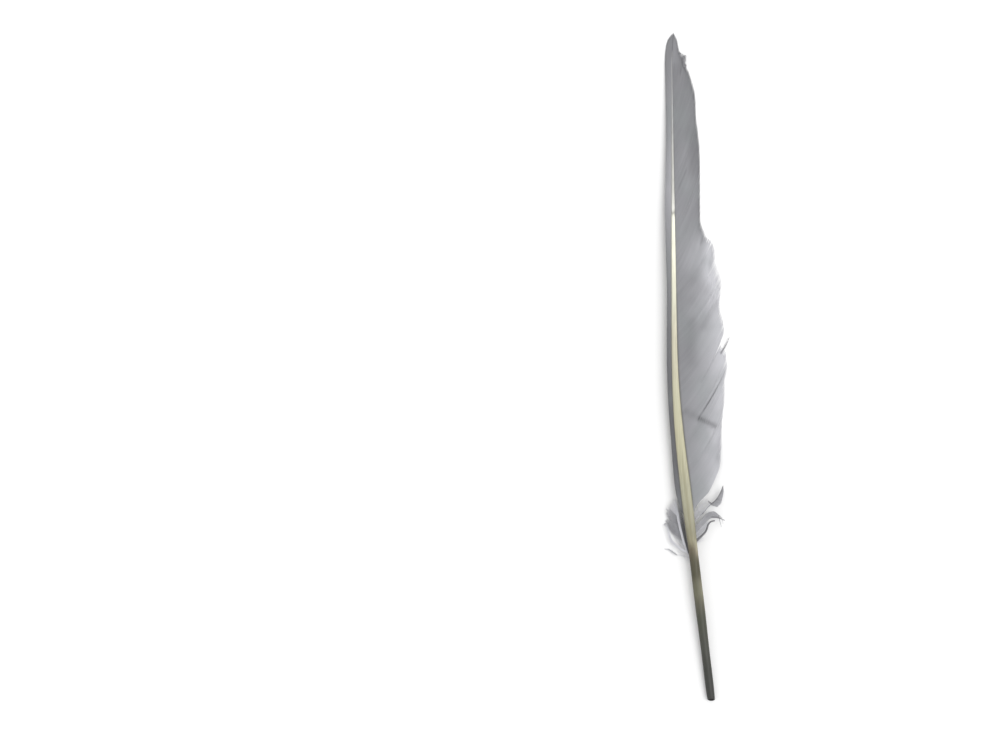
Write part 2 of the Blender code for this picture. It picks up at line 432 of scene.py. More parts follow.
# %% The two vanes' shapes
# Each vane: its side of the shaft, the share of the shaft's depth where it holds on, its first and last
# roots, how far along a barb's end lies from its root, the margin's distance from the middle line and its
# height, and how many barbs it has, how many steps each, and how uneven their ends are.
TRAILING = {
    "side": 1,
    "hold": 0.1,
    "roots": (84.6, 288.4),
    "rises": [(85, 21), (119, 30), (183, 26), (230, 28), (265, 22), (283, 16.2), (288.4, 12)],
    "outline": [
        (98, 14.9), (106, 16.95), (117, 18.85), (124, 19.6), (137, 21.9), (145, 22.4), (150, 23.6),
        (156, 23.1), (160.5, 20.9), (167, 22.5), (178, 20.5), (189, 21.5), (197, 18.9), (202.5, 18.5),
        (206.5, 17), (209, 14.6), (217, 12.2), (245, 12.3), (263, 10.8), (271, 10.5), (282, 7.9),
        (286, 6.0), (289, 5.1), (291, 3.9), (292.4, 3.1), (297, 1.7), (299, 0.5), (300.2, -0.4),
    ],
    "edge_heights": [(106, 2.4), (124, 0.12), (300, 0.12)],
    "foot_hollow": 1.6,
    "barbs": 356,
    "steps": 26,
    "ragged": 0.16,
}
LEADING = {
    "side": -1,
    "hold": 0.1,
    "roots": (83.6, 288.4),
    "rises": [(84, 14), (120, 20), (230, 18), (275, 14), (283, 15.4), (288.4, 12)],
    "outline": [
        (98, 4.7), (118, 4.0), (150, 3.6), (185, 3.1), (218, 3.6), (243, 3.0), (262, 2.7),
        (290, 3.0), (295, 2.9), (297.3, 2.45), (299, 1.5), (300.4, 0.45),
    ],
    "edge_heights": [
        (98, 4.0), (130, 4.5), (150, 4.7), (200, 4.1), (250, 2.3), (285, 0.5), (299.7, 0.2),
    ],
    "barbs": 270,
    "steps": 20,
    "ragged": 0.12,
}
EVEN_RISE, LANDING, SUNK = 0.62, 0.9, 0.25
TABLE_GAP = 0.09
HOLLOW_FADE, HOLLOW_END = 9, 0.55


def barb_points(vane, root, out, stretch=1.0, pushed=0.0, lifted=0.0):
    """A barb rises along the feather by an even part and a part with the square of the share out, spreads
    from the shaft to the outline, and comes down towards the table in a half wave or a quarter wave. The
    lowest barbs hug the shaft a little before they spread."""
    rise = through(vane["rises"], root)
    tip = root + rise
    along = root + rise * (EVEN_RISE * out + (1 - EVEN_RISE) * out**2)
    start = shaft_width(root) / 2 - SUNK
    reach = through(vane["outline"], tip) * stretch
    top = middle(root)[1] + shaft_depth(root) * vane["hold"]
    low = through(vane["edge_heights"], tip)
    if vane["side"] > 0:
        spread, drop = out, (1 - np.cos(np.pi * np.minimum(out / LANDING, 1))) / 2
    else:
        spread, drop = np.sin(out * np.pi / 2), 1 - np.cos(out * np.pi / 2)
    along = along + pushed
    height = np.maximum(top + (low - top) * drop + lifted, TABLE_GAP)
    foot = np.clip(1 - (root - vane["roots"][0]) / HOLLOW_FADE, 0, 1) ** 2
    hollow = vane.get("foot_hollow", 0) * foot * np.sin(np.pi * np.minimum(out / HOLLOW_END, 1))
    x = middle(along)[0] + vane["side"] * (start + (reach - start) * spread - hollow)
    return in_frame(along, x, height)


# %% [markdown]
# ## Splits and wear
# Use leaves its marks in the web. Long splits run in from the margin where barbs have unzipped, small ones
# fringe it, a slit and a pinhole stay closed at both ends, and a dent dips the web below the longest
# split. Each is a formula of the barb's root and the share out, added to the smooth vane. The splits' lips
# and the dent are painted darker as well, a painted shade where shade falls into them.

# %% Where the web has come apart
# Each split: its barb's root, the shares out where it starts and ends, how wide it opens, how far along
# the barbs beside it give way, how much higher its lower lip stands, and how dark its lips are painted, a
# painted shade where shade falls into the split.
SPLITS = [
    (119.6, 0.31, 1, 0.2, 6, 0.5, 0.22), (130.5, 0.8, 1, 0.6, 3, 0.2, 0.05),
    (130.5, 0.5, 0.9, 0.04, 3, 0.12, 0.04), (172, 0.84, 1, 0.6, 3, 0.15, 0.1),
    (184.2, 0.84, 1, 0.4, 3, 0.3, 0.15), (161.8, 0.45, 0.9, 0.05, 3, -0.25, -0.1),
    (227.2, 0.18, 0.53, 0.05, 2.5, 0.1, 0.12), (238.5, 0.44, 0.6, 0.03, 2, 0.05, 0.03),
    (267.6, 0.74, 0.86, 0.15, 2, 0, 0.12),
]
Split = namedtuple("Split", "root start end opening fade step dark")
LIP = 0.9
STEP_GROWTH, DARK_GROWTH = 2.5, 5


def at_splits(splits, root, out):
    """Sums over the splits, each strongest at its own barb: half the opening along, half the step in
    height, and a painted shade in a bell curve close by, where shade falls into the split. The opening
    grows from the start to the margin, or in an arc where it closes again."""
    pushed, lifted, dark = (np.zeros(np.broadcast_shapes(root.shape, out.shape)) for _ in range(3))
    for split in (Split(*s) for s in splits):
        share = np.clip((out - split.start) / (split.end - split.start), 0, 1)
        share = share if split.end == 1 else np.sin(np.pi * share)
        near = np.clip(1 - np.abs(root - split.root) / split.fade, 0, 1)
        side = np.where(root > split.root, 1, -1)
        pushed += side * split.opening / 2 * share * near
        lifted -= side * split.step / 2 * np.minimum(share * STEP_GROWTH, 1) * near
        beside = np.exp(-(((root - split.root) / LIP) ** 2))
        dark += split.dark * np.minimum(share * DARK_GROWTH, 1) * beside
    return pushed, lifted, dark


def fringe_splits(vane, count, inner, widest, dice):
    """Small splits at random places round the margin."""
    low, high = vane["roots"]
    places, starts = dice.uniform(low, high, count), dice.uniform(inner, 0.97, count)
    openings, fades = dice.uniform(0.2, 1, count) * widest, dice.uniform(1.2, 2.6, count)
    # each small split's lips get a little painted shade
    return [(p, s, 1, o, f, 0, 0.1) for p, s, o, f in zip(places, starts, openings, fades)]


def soft_noise(places, spacing, dice):
    """Random heights at even spacing, with straight runs between them."""
    knots = np.arange(places.min() - spacing, places.max() + 2 * spacing, spacing)
    return np.interp(places, knots, dice.uniform(-1, 1, len(knots)))


# %% [markdown]
# The web isn't flat either. Groups of barbs lie a little higher or lower than their neighbours, which
# shows as soft slanting bands, and the outer ends may be worn so thin that the table shines through them.

# %% Relief and thin places
# Each marked place: a line between two places (along and across), how wide it spreads, how deep it dips
# and how much darker it is painted
WEAR_AND_PAINTED_LIGHT = [
    # the dent, with painted shade in it, and a darker band beside it
    ((127.0, 9.7), (123.6, 17.0), 0.85, 0.6, 0.42),
    ((130, 4), (127.5, 9), 1.6, 0, 0.1),
    # paler patches; those at the margin are painted light, where light comes through its thin barbs
    ((205, 19), (190, 21.5), 5.5, 0, -0.75),
    ((202, 18.2), (182, 21.5), 2.2, 0, -0.4),
    ((178, 21), (142, 24), 5, 0, -0.22),
    ((141, 20), (133, 19.5), 2.5, 0, -0.12),
    ((120, 14), (110, 9), 2.5, 0, -0.07),
    ((250, 6), (232, 6), 2.5, 0, -0.06),
    ((298, 0), (288, 1.5), 2, 0, -0.09),
    # greyer bands
    ((180, 20), (168, 13.5), 2.2, 0, 0.16),
    ((187, 13), (180, 9), 3, 0, 0.08),
    ((255, 9.5), (238, 9.5), 2.5, 0, 0.07),
    ((206, 15.5), (190, 9), 4, 0, 0.14),
    ((189, 17.5), (184, 15), 2.5, 0, 0.1),
    ((170, 8), (153, 8), 3, 0, 0.1),
]
WearAndPaintedLight = namedtuple("WearAndPaintedLight", "start end wide deep dark")
# Each thin place: how far along, how far it spreads, the share out where it starts, and the share lost
THIN_PLACES = [(193, 14, 0.72, 0.62), (150, 32, 0.88, 0.2), (112, 10, 0.85, 0.2)]


def bell_round(points, wear_and_painted_light):
    """1 on a marked place's line, and a bell curve of the distance from it on the plan."""
    along, x = points[..., 1] - QUILL_END, points[..., 0]
    across = x - middle(along)[0]
    (a0, c0), (a1, c1) = wear_and_painted_light.start, wear_and_painted_light.end
    run = np.array([a1 - a0, c1 - c0])
    share = np.clip(((along - a0) * run[0] + (across - c0) * run[1]) / (run @ run), 0, 1)
    off = np.hypot(along - a0 - share * run[0], across - c0 - share * run[1])
    return np.exp(-((off / wear_and_painted_light.wide) ** 2))


def thinned(tip, out):
    """The share of a barb's width that is left: less near the margin round each thin place."""
    left = 1.0
    for place, half, start, loss in THIN_PLACES:
        near = np.clip(1 - ((tip - place) / half) ** 2, 0, 1)
        left = left - loss * near * np.clip((out - start) / (1 - start), 0, 1)
    return left


# %% [markdown]
# Now the barbs themselves. Each ring needs a width: the distance to the next barb, measured square to the
# barb. The same formula worked a hair's breadth further along the shaft gives that distance, and the two
# directions together give the web's slope, which the strand's ridge stands up from.

# %% Grow a vane
OVERLAP, BARB_DEPTH, NUDGE = 1.28, 0.14, 0.05
THINNEST, TIP_BARB, TIP_START, TIP_FADE = 0.03, 0.3, 281, 6
# Shares of a barb's width and depth that are left from its root to its end
POINTED, FLATTENED = [(0, 1), (0.92, 1), (1, 0.3)], [(0, 1), (0.3, 0.7), (1, 0.25)]
CROWDING, ROOT_CHANCE, LEVEL_CHANCE = 1.35, 0.12, 0.02
TUFT, WIDE_BAND, NARROW_BAND = 1.4, 7, 2.6


def grow_vane(vane, splits, dice, relief, wear_and_painted_light):
    """Barbs from evenly spaced roots with a little chance in their spacing, length and height. Their rings
    crowd towards the margin, where the barbs bend most."""
    count = vane["barbs"]
    spacing = (vane["roots"][1] - vane["roots"][0]) / (count - 1)
    outs = 1 - (1 - np.linspace(0, 1, vane["steps"])) ** CROWDING
    root = np.linspace(*vane["roots"], count) + dice.uniform(-ROOT_CHANCE, ROOT_CHANCE, count) * spacing
    stretch = 1 + vane["ragged"] * (soft_noise(root, TUFT, dice) + dice.uniform(-0.5, 0.5, count)) / 20
    level = relief * (soft_noise(root, WIDE_BAND, dice) + 0.5 * soft_noise(root, NARROW_BAND, dice))
    level = level + dice.uniform(-LEVEL_CHANCE, LEVEL_CHANCE, count)
    root, stretch, level, out = root[:, None], stretch[:, None], level[:, None], outs[None, :]
    pushed, lifted, dark = at_splits(splits, root, out)
    lifted = lifted + level * out**1.2
    lines = barb_points(vane, root, out, stretch, pushed, lifted)
    # marked places dip the web and are painted darker or paler: painted shade in the dent, painted light at
    # the thin margin
    for place in (WearAndPaintedLight(*w) for w in wear_and_painted_light):
        bell = bell_round(lines, place)
        lifted, dark = lifted - place.deep * bell, dark + place.dark * bell
    lines = barb_points(vane, root, out, stretch, pushed, lifted)
    ahead = unit(np.gradient(lines, axis=1))
    next_to = (barb_points(vane, root + NUDGE, out) - barb_points(vane, root - NUDGE, out)) / (2 * NUDGE)
    next_to = next_to - ahead * (next_to * ahead).sum(-1, keepdims=True)
    apart = np.linalg.norm(next_to, axis=-1) * spacing
    up = np.cross(ahead, next_to) * vane["side"]
    tip = root + through(vane["rises"], root)
    pointed = through(POINTED, out)
    thin = thinned(tip, out) if vane["side"] > 0 else 1
    thinnest = THINNEST + TIP_BARB * np.clip((root - TIP_START) / TIP_FADE, 0, 1) * (1 - 0.6 * out**4)
    widths = np.maximum(apart * OVERLAP * pointed * thin, thinnest)
    depths = BARB_DEPTH * through(FLATTENED, out) * np.ones_like(widths)
    return strands(lines, widths, depths, up, root[:, 0] / LENGTH, outs, dark)


# %% [markdown]
# ### The web's finish
# The web is dyed a soft, even grey, a little lavender in places, and never quite flat: each barb took the
# dye a little differently, so streaks run along them. It is painted paler towards the margin, a painted
# light where the thin margin lets the light through, and it is darker towards the tip. Barbules too fine
# to model leave a slanting weave, which is a bump here. A vane is so thin that it glows a little where
# light falls on its back, so part of the light goes through it.


# %% Dyed web
DARK_WEB, PALE_WEB, COOL_WEB = (
    screen(*grey, WEB_LIGHT) for grey in ((105, 105, 108), (222, 222, 227), (154, 160, 160))
)
# Streaks over the feather's length, where the wide part ends, and the share of light let through
FINE_STREAKS, BROAD_STREAKS, STEP, WEB_GLOW = 900, 130, (0.64, 0.72), 0.3


def web_finish(name, tones, margin, streaks):
    """A tone from the place along the feather, paler with the share out below the step by the margin's
    amount, with streaks that keep to each barb."""
    finish = Finish(name)
    number, out = finish.growth()
    x, y, z = finish.position()
    along = y / (LENGTH * MM) + 0.5
    fine = finish.noise(number * FINE_STREAKS, out * 1.5, detail=1.0)
    broad = finish.noise(number * BROAD_STREAKS, out * 1.2, 3.7)
    cloud = finish.noise(x * 60, y * 60, z * 60)
    wide_part = 1 - along.rise(*STEP)
    # painted light: the tone grows paler towards the margin, where the thin web lets light through
    tone = finish.tones(along, tones) + out.rise(0.1, 1.1) * wide_part * margin
    # less the stored shade: painted shade at the split lips and in the dent, painted light in the paler
    # margin patches, and greyer bands
    tone = tone + ((broad - 0.5) * 0.17 + (fine - 0.5) * 0.12) * streaks - finish.shade()
    tone = tone - out.rise(0.86, 1.0) * (1 - wide_part) * 0.1
    colour = finish.mixed(tone.held(), DARK_WEB, PALE_WEB)
    colour = finish.mixed(cloud.rise(0.4, 0.75) * 0.4, colour, COOL_WEB)
    weave = finish.noise(number * 2600 + out * 40, out * 160 - number * 900, detail=0.0)
    finish.wear(
        Base_Color=colour, Roughness=0.72, Specular_IOR_Level=0.3, Sheen_Weight=0.1, Sheen_Roughness=0.4,
        Normal=finish.bump(weave + fine * 0.6, 0.00003, 0.5),
    )
    finish.let_light_through(WEB_GLOW, (0.42, 0.42, 0.44, 1))
    return finish.material


WIDE_TONES = [
    (85, 0.42), (125, 0.36), (150, 0.28), (180, 0.3), (200, 0.36), (215, 0.34), (240, 0.28), (260, 0.24),
]
# the leading vane is painted darker along its lower half: painted shade where that side lies in shade
NARROW_TONES = [
    (85, 0.1), (130, 0.1), (165, 0.16), (190, 0.28), (210, 0.42), (230, 0.6), (250, 0.5), (270, 0.38),
    (290, 0.26),
]
wide_web = web_finish("wide_web", WIDE_TONES, 0.52, 1.0)
narrow_web = web_finish("narrow_web", NARROW_TONES, 0.0, 0.6)

# %% [markdown]
# With the shape, the wear and the finish ready, each vane is one call. Its chances come from a seed, so it
# grows the same every time, and its barbs' sides are marked sharp, so that they catch the light one by one.

# %% Make the two vanes
trailing_splits = SPLITS + fringe_splits(TRAILING, 16, 0.92, 0.25, np.random.default_rng(7))
trailing_shape = grow_vane(TRAILING, trailing_splits, np.random.default_rng(11), 0.16, WEAR_AND_PAINTED_LIGHT)
trailing_vane = new_piece("trailing_web", trailing_shape, wide_web)
leading_splits = fringe_splits(LEADING, 8, 0.8, 0.15, np.random.default_rng(5))
leading_shape = grow_vane(LEADING, leading_splits, np.random.default_rng(3), 0.08, [])
leading_vane = new_piece("leading_web", leading_shape, narrow_web)
for vane in (trailing_vane, leading_vane):
    sharpen_sides(vane)

# %% [markdown]
# ## The shaft
# The bare barrel is a hollow tube and the rest of the shaft is filled with pith, with a groove down its
# underside. A bent cylinder would be round all the way. This is a section carried along the middle line
# instead: its corners fill out above the barrel, the groove sinks in below, and the quill's end closes
# round a small open pit, tilted so that it shows from above.

# %% Carry a section along the line
SHAFT_SIDES, SHAFT_RINGS = 40, 420
GROOVE_START, GROOVE, GROOVE_FADE, GROOVE_WIDTH = 60, 0.3, 12, 0.55
SQUARENESS, SQUARE_FADE = 0.3, 30
NOSE = 2.4
# The painting sheet: the walls' height, then a row of cells for the faces across the ends
WALLS_TO, CAPS_FROM, CAP_WIDTH, CAP_HEIGHT = 0.9, 0.94, 0.8, 0.05
# The quill's end from inside the pit to the barrel: along, share of the full width, tilt and shade
END_RINGS = [
    (3.4, 0.02, 0.8, 1), (3.0, 0.3, 0.8, 1), (1.5, 0.58, 0.8, 1), (0.2, 0.75, 0.8, 1),
    (0.0, 0.81, 0.76, 0.95), (0.02, 0.86, 0.66, 0.85), (0.12, 0.9, 0.5, 0.6),
    (0.35, 0.935, 0.3, 0.25), (0.8, 0.95, 0.1, 0.05), (1.5, 0.975, 0.0, 0),
]


def shaft_rings(along, share, tilt):
    """Rings of a rounded square: a sine and a cosine raised to a power that falls from the barrel up. A
    tilted ring lies further along at its top."""
    turn = np.linspace(0, 2 * np.pi, SHAFT_SIDES, endpoint=False)[None, :]
    along, share, tilt = along[:, None], share[:, None], tilt[:, None]
    power = 1 - SQUARENESS * np.clip((along - GROOVE_START) / SQUARE_FADE, 0, 1)
    cos, sin = np.cos(turn), np.sin(turn)
    half_width = shaft_width(along) / 2
    wide = np.sign(cos) * np.abs(cos) ** power * half_width * share
    deep = np.sign(sin) * np.abs(sin) ** power * shaft_depth(along) / 2 * share
    groove = GROOVE * np.clip((along - GROOVE_START) / GROOVE_FADE, 0, 1) * half_width
    deep = deep + groove * (sin < 0) * np.clip(1 - (wide / (GROOVE_WIDTH * half_width)) ** 2, 0, 1) ** 1.5
    x, height = middle(along)
    return in_frame(along + tilt * (1 + sin), x + wide, height + deep)


def rod(rings, along_shares, shades):
    """A closed rod through rings: walls between neighbours, and a row of faces across each end."""
    count, sides = rings.shape[:2]
    index = np.arange(count * sides).reshape(count, sides)
    near, far = index[:-1], index[1:]
    walls = np.stack([near, np.roll(near, -1, 1), np.roll(far, -1, 1), far], axis=-1)[..., ::-1]
    half = np.arange(sides // 2 - 1)
    cap = np.stack([half, half + 1, sides - 2 - half, sides - 1 - half], axis=-1)
    ends = np.concatenate([index[0][cap], index[-1][cap][:, ::-1]])
    faces = np.concatenate([walls.reshape(-1, 4), ends])
    along = np.broadcast_to(along_shares[:, None], (count, sides))
    round_it = np.broadcast_to(np.arange(sides) / sides, (count, sides))
    places = np.stack([along, round_it], axis=-1).reshape(-1, 2)
    step = np.arange(count - 1)[:, None, None]
    u = (step + np.array([0, 0, 1, 1])[::-1]) / (count - 1)
    v = (np.arange(sides)[None, :, None] + np.array([0, 1, 1, 0])[::-1]) / sides
    sheet = np.stack(np.broadcast_arrays(u, v * WALLS_TO), axis=-1).reshape(-1, 4, 2)
    corners = np.array([[0, 0], [1, 0], [1, 1], [0, 1]]) * (CAP_WIDTH / len(ends), CAP_HEIGHT)
    cells = np.stack([np.arange(len(ends)) / len(ends), np.full(len(ends), CAPS_FROM)], axis=-1)
    sheet = np.concatenate([sheet, cells[:, None] + corners])
    return Shape(rings.reshape(-1, 3), faces, places, np.repeat(shades, sides), sheet)


end_along, end_share, end_tilt, end_shade = np.array(END_RINGS).T
body = np.linspace(NOSE, SHAFT_END, SHAFT_RINGS)
shaft_along = np.concatenate([end_along, body])
rings = shaft_rings(
    shaft_along, np.append(end_share, np.ones(SHAFT_RINGS)), np.append(end_tilt, np.zeros(SHAFT_RINGS))
)
shaft_shape = rod(rings, shaft_along / LENGTH, np.append(end_shade, np.zeros(SHAFT_RINGS)))

# %% [markdown]
# ### The shaft's finish
# The horn is ivory towards the tip, turns cream and then olive down the shaft, has a brown band at the
# foot of the down, and the dyed barrel is a dark, dull olive grey. Fine lines run along it, with a darker
# one down its middle above the barrel where the groove's shade shows through.

# %% Dyed horn
# The horn's colours: each a place along and a screen colour
HORN_COLOURS = [
    (0, (55, 56, 54)), (14, (56, 57, 52)), (24, (68, 69, 62)), (37, (71, 73, 61)), (44, (91, 89, 75)),
    (48, (107, 106, 87)), (53, (101, 99, 81)), (57, (79, 76, 58)), (61, (86, 83, 65)), (64, (95, 89, 72)),
    (67, (110, 101, 83)), (71, (152, 147, 123)), (75, (149, 146, 123)), (81, (163, 160, 138)),
    (96, (177, 175, 151)), (114, (192, 188, 159)), (135, (196, 193, 166)), (165, (209, 204, 181)),
    (180, (222, 221, 199)), (200, (254, 252, 230)), (217.6, (254, 254, 237)), (219.2, (168, 168, 160)),
    (221, (240, 240, 232)), (229, (205, 205, 198)), (245, (194, 194, 188)), (258, (180, 181, 180)),
    (290, (168, 168, 168)),
]


def horn_finish(name):
    """Colours from the place along the shaft, with streaks along it, a middle line, a painted highlight on
    its right side, and painted shade down its sides and in the quill's pit.
    """
    finish = Finish(name)
    along, turn = finish.growth()
    x, y, z = finish.position()
    stops = [(place / LENGTH, screen(*colour)) for place, colour in HORN_COLOURS]
    wander = finish.noise(turn * 9, along * 60) - 0.5
    wedge = turn.bump_at(0.27, 0.16) * (along.rise(0.19, 0.21) * (1 - along.rise(0.24, 0.27)))
    colour = finish.ramp(along + wander * 0.012 - wedge * 0.006, stops)
    streak = finish.noise(x * 4500, y * 60, z * 4500)
    stain = finish.noise(x * 300, y * 90, z * 300, detail=3.0)
    colour = finish.mixed(streak.rise(0.35, 0.75) * 0.22, colour, screen(70, 68, 50), "MULTIPLY")
    colour = finish.mixed(stain.rise(0.55, 0.8) * 0.15, colour, screen(90, 84, 60))
    foot = along.rise(0.2, 0.26) * (1 - along.rise(0.32, 0.42))
    colour = finish.mixed(turn.bump_at(0.25, 0.05) * foot * 0.35, colour, screen(120, 112, 80))
    # painted highlight on the shaft's right side, where the light falls
    lit = turn.bump_at(0.1, 0.13) * (along.bump_at(0.168, 0.03) * 0.22 + along.bump_at(0.228, 0.02) * 0.5)
    colour = finish.mixed(lit, colour, screen(190, 184, 160))
    # painted shade down the shaft's sides, strongest on its left
    painted_left_shade = turn.bump_at(0.45, 0.22) * along.bump_at(0.23, 0.06)
    colour = finish.mixed(painted_left_shade * 0.3, colour, screen(140, 128, 110), "MULTIPLY")
    sides = turn.bump_at(0.5, 0.13) * 0.6 + turn.bump_at(0.03, 0.1) * along.rise(0.25, 0.32)
    colour = finish.mixed(sides * 0.6, colour, screen(140, 128, 110), "MULTIPLY")
    # painted shade: the stored shade darkens the quill's open pit and its rim
    colour = finish.mixed(finish.shade(), colour, screen(16, 16, 15))
    finish.wear(
        Base_Color=colour, Roughness=0.42 + streak * 0.18, Specular_IOR_Level=0.4,
        Normal=finish.bump(streak + stain * 0.5, 0.00004, 0.6),
    )
    return finish.material


shaft = new_piece("shaft_rod", shaft_shape, horn_finish("dyed_horn"))

# %% [markdown]
# ## Down and loose barbs
# At the foot of the vanes the barbs have no hooks, so they don't zip together: they are down. Each soft
# stem carries barbules that stand off it on both sides. A fuzzy texture on a sheet would look flat and
# hard-edged, so both stems and barbules are strands. A lock of down is a fan: its stems share out the space
# between two lines, each through a few places given as along, across and height.

# %% Fans of soft stems
STEM_STEPS, BARBULE_STEPS, BARBULE_ROWS = 14, 4, 8
# Where on a stem its barbules start and end, and their slant in radians
FIRST_BARBULE, LAST_BARBULE, SLANT = 0.04, 0.97, 0.75
STEM_WIDTH, STEM_SHADE = 2.2, 0.1


def line_through(places, shares):
    """A line whose along, across and height are each a smooth curve of the share of its chords' length."""
    places = np.array(places, float)
    chords = np.append(0, np.cumsum(np.linalg.norm(np.diff(places, axis=0), axis=1)))
    parts = [through(np.stack([chords / chords[-1], part], 1), shares) for part in places.T]
    return np.stack(parts, -1)


def on_feather(places):
    """Points in the model's frame from along, across and height, kept above the table."""
    along, across, height = np.moveaxis(places, -1, 0)
    return in_frame(along, middle(along)[0] + across, np.maximum(height, TABLE_GAP))


def fan(dice, first, last, stems, loose, shortest, steps):
    """Stems at even shares between two lines, each of its own length, with a random bend that grows with
    the square of the share out."""
    share = (np.arange(stems) + dice.uniform(0.2, 0.8, stems))[:, None, None] / stems
    run = np.linspace(0, 1, steps) * dice.uniform(shortest, 1, stems)[:, None]
    bend = dice.normal(0, loose, (stems, 1, 3)) * (1, 1, 0.4) * run[..., None] ** 2
    return on_feather((1 - share) * line_through(first, run) + share * line_through(last, run) + bend)


def stem_strands(dice, lines, width, shade, taper=0.75):
    """The stems themselves, tapering to their ends."""
    outs = np.linspace(0, 1, lines.shape[1])
    widths = width * (1 - taper * outs) * np.ones((len(lines), 1))
    return strands(lines, widths, widths * 0.7, UP, dice.uniform(0, 1, len(lines)), outs, shade)


def barbule_strands(dice, lines, count, reach, width, shade):
    """Barbules off both sides: each starts at an even share of its stem, leaves forwards at a slant, bends
    on and droops with the square of its own share out."""
    stems, steps = lines.shape[:2]
    share = np.linspace(FIRST_BARBULE, LAST_BARBULE, count)
    spots = share * (steps - 1)
    low = np.minimum(spots.astype(int), steps - 2)
    part = (spots - low)[:, None]
    base = lines[:, low] * (1 - part) + lines[:, low + 1] * part
    ahead = unit(lines[:, low + 1] - lines[:, low])
    side = unit(np.cross(UP, ahead))
    long = reach * np.sin(np.pi * share**0.6) ** 0.7 * dice.uniform(0.6, 1.25, (2, stems, count))
    angle = SLANT + dice.normal(0, 0.12, (2, stems, count))
    hand = np.array([1, -1])[:, None, None]
    way = ahead * np.cos(angle)[..., None] + side * (hand * np.sin(angle))[..., None]
    tilt = dice.normal(0, 0.18, (2, stems, count, 1)) * UP
    outs = np.linspace(0, 1, BARBULE_STEPS)
    run, bend = outs[:, None], outs[:, None] ** 2
    on, off, droop = ahead[None, :, :, None], (way + tilt)[..., None, :], -0.3 * UP
    points = base[None, :, :, None] + long[..., None, None] * (off * run + (0.3 * on + droop) * bend)
    points = points.reshape(-1, BARBULE_STEPS, 3)
    points[..., 2] = np.maximum(points[..., 2], TABLE_GAP)
    number = np.repeat(dice.uniform(0, 1, 2 * stems), count)
    widths = width * (1 - 0.6 * outs) * np.ones((len(points), 1))
    return strands(points, widths, widths * 0.5, UP, number, outs, shade, BARBULE_ROWS)


def lock(dice, first, last, stems, barbules, reach, shade, width, loose, shortest=0.75, steps=STEM_STEPS):
    """A fan with its barbules."""
    lines = fan(dice, first, last, stems, loose, shortest, steps)
    return [
        stem_strands(dice, lines, STEM_WIDTH * width, shade + STEM_SHADE),
        barbule_strands(dice, lines, barbules, reach, width, shade),
    ]


# %% [markdown]
# The dye took unevenly on the down: some locks are nearly white and others as grey as the web. A lock's
# own shade is stored at its points, and this finish takes it from a pale base tone.


# %% Dyed down
def down_finish(name, tone, through_share):
    """A base tone less the stored shade, a little uneven from strand to strand and place to place."""
    finish = Finish(name)
    number, out = finish.growth()
    x, y, z = finish.position()
    own = finish.noise(number * 57, out * 1.2, detail=1.0)
    cloud = finish.noise(x * 400, y * 400, z * 400)
    tone = tone - finish.shade() + (own - 0.5) * 0.3 + (cloud - 0.5) * 0.35
    colour = finish.mixed(tone.held(), DARK_WEB, screen(245, 245, 250, WEB_LIGHT))
    finish.wear(
        Base_Color=colour, Roughness=0.8, Specular_IOR_Level=0.2, Sheen_Weight=0.15, Sheen_Roughness=0.5
    )
    finish.let_light_through(through_share, (0.6, 0.6, 0.61, 1))
    return finish.material


down = down_finish("dyed_down", 0.85, 0.35)
loose_web = down_finish("loose_web", 0.42, 0.2)

# %% [markdown]
# On the leading side the down fans out low over the table. The main lock is grey, a pale one stands up
# beside the leading vane and ends in a small flick, a pale band lies along the shaft, a white curl turns up
# at its outer end, and the lowest barbs are single pale filaments with one dark wisp.

